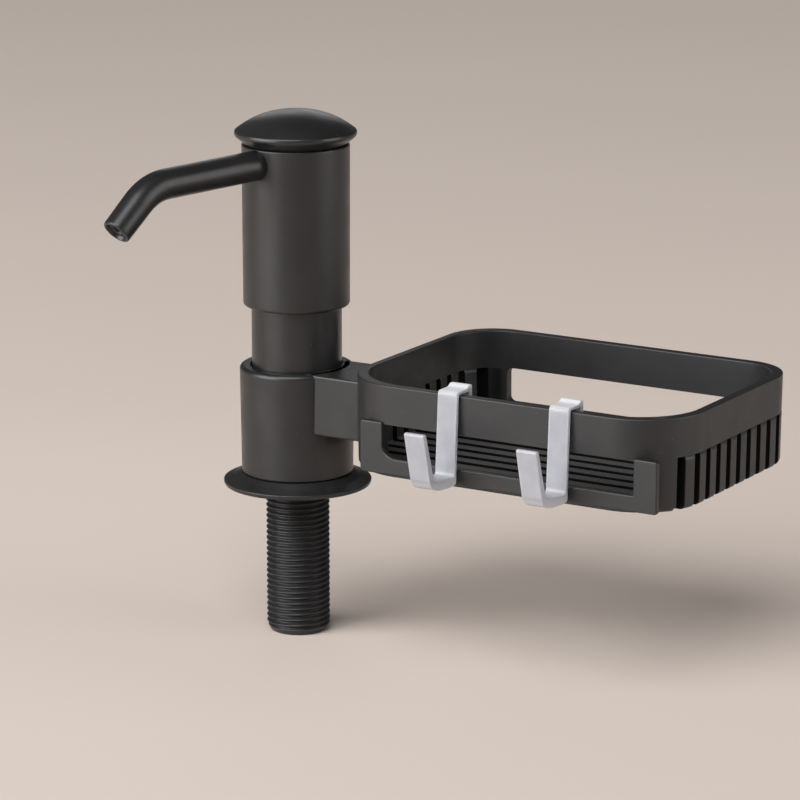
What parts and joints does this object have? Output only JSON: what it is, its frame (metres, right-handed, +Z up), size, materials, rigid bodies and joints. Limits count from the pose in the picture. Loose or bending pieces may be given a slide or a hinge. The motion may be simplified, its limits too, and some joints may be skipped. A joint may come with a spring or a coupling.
{
  "type": "soap pump dispenser",
  "caption": "Deck-mount soap pump: threaded shank, sprung swivel head with a bent spout, and a swing-round slotted caddy basket with clear hooks that slide along its rim.",
  "frame": {"origin": "on the pump's axis, at the flange's underside, where it sits on the counter", "axes": "+Z up along the pump's axis, +X from the pump along the basket's length, -Y the front with the hooks"},
  "size_m": [0.1945, 0.1645, 0.196],
  "materials": {
    "satin_black": "satin moulded",
    "engine_plastic": "natural moulded",
    "seal_rubber": "matt",
    "stainless": "drawn",
    "frosted_clear": "frosted"
  },
  "bodies": {
    "base": {"threaded_shank": "satin_black", "flange_gasket": "seal_rubber", "guide_sleeve": "satin_black", "pump_cylinder": "engine_plastic", "cylinder_gasket": "seal_rubber", "lock_collar": "engine_plastic", "ball_retainer": "engine_plastic"},
    "inlet_valve": {"inlet_ball": "stainless"},
    "plunger": {"pump_stem": "engine_plastic", "piston_seal": "seal_rubber", "return_spring": "stainless"},
    "outlet_valve": {"outlet_ball": "stainless"},
    "head": {"head_shell": "satin_black", "dome_cap": "satin_black", "head_core": "engine_plastic", "stem_seal": "seal_rubber", "spout_tube": "satin_black", "spout_liner": "satin_black", "spout_seal": "seal_rubber"},
    "caddy": {"bracket_ring": "satin_black", "basket": "satin_black", "front_plate": "satin_black"},
    "left_hook": {"hook_left": "frosted_clear"},
    "right_hook": {"hook_right": "frosted_clear"}
  },
  "joints": [
    {"name": "inlet_ball_lift", "type": "slide", "parent": "base", "child": "inlet_valve", "axis": [0, 0, 1], "range_m": [0, 0.002]},
    {"name": "plunger_stroke", "type": "slide", "parent": "base", "child": "plunger", "axis": [0, 0, -1], "range_m": [0, 0.015], "stiffness_N_per_m": 200, "springref_m": -0.0125, "deforming": ["return_spring"]},
    {"name": "outlet_ball_lift", "type": "slide", "parent": "plunger", "child": "outlet_valve", "axis": [0, 0, 1], "range_m": [0, 0.0012]},
    {"name": "head_swivel", "type": "hinge", "parent": "plunger", "child": "head", "pos_m": [0, 0, 0.1], "axis": [0, 0, 1], "continuous": true},
    {"name": "basket_swing", "type": "hinge", "parent": "base", "child": "caddy", "pos_m": [0, 0, 0.025], "axis": [0, 0, 1], "continuous": true},
    {"name": "hook_left_slide", "type": "slide", "parent": "caddy", "child": "left_hook", "axis": [1, 0, 0], "range_m": [-0.016, 0.016]},
    {"name": "hook_right_slide", "type": "slide", "parent": "caddy", "child": "right_hook", "axis": [1, 0, 0], "range_m": [-0.014, 0.011]}
  ]
}
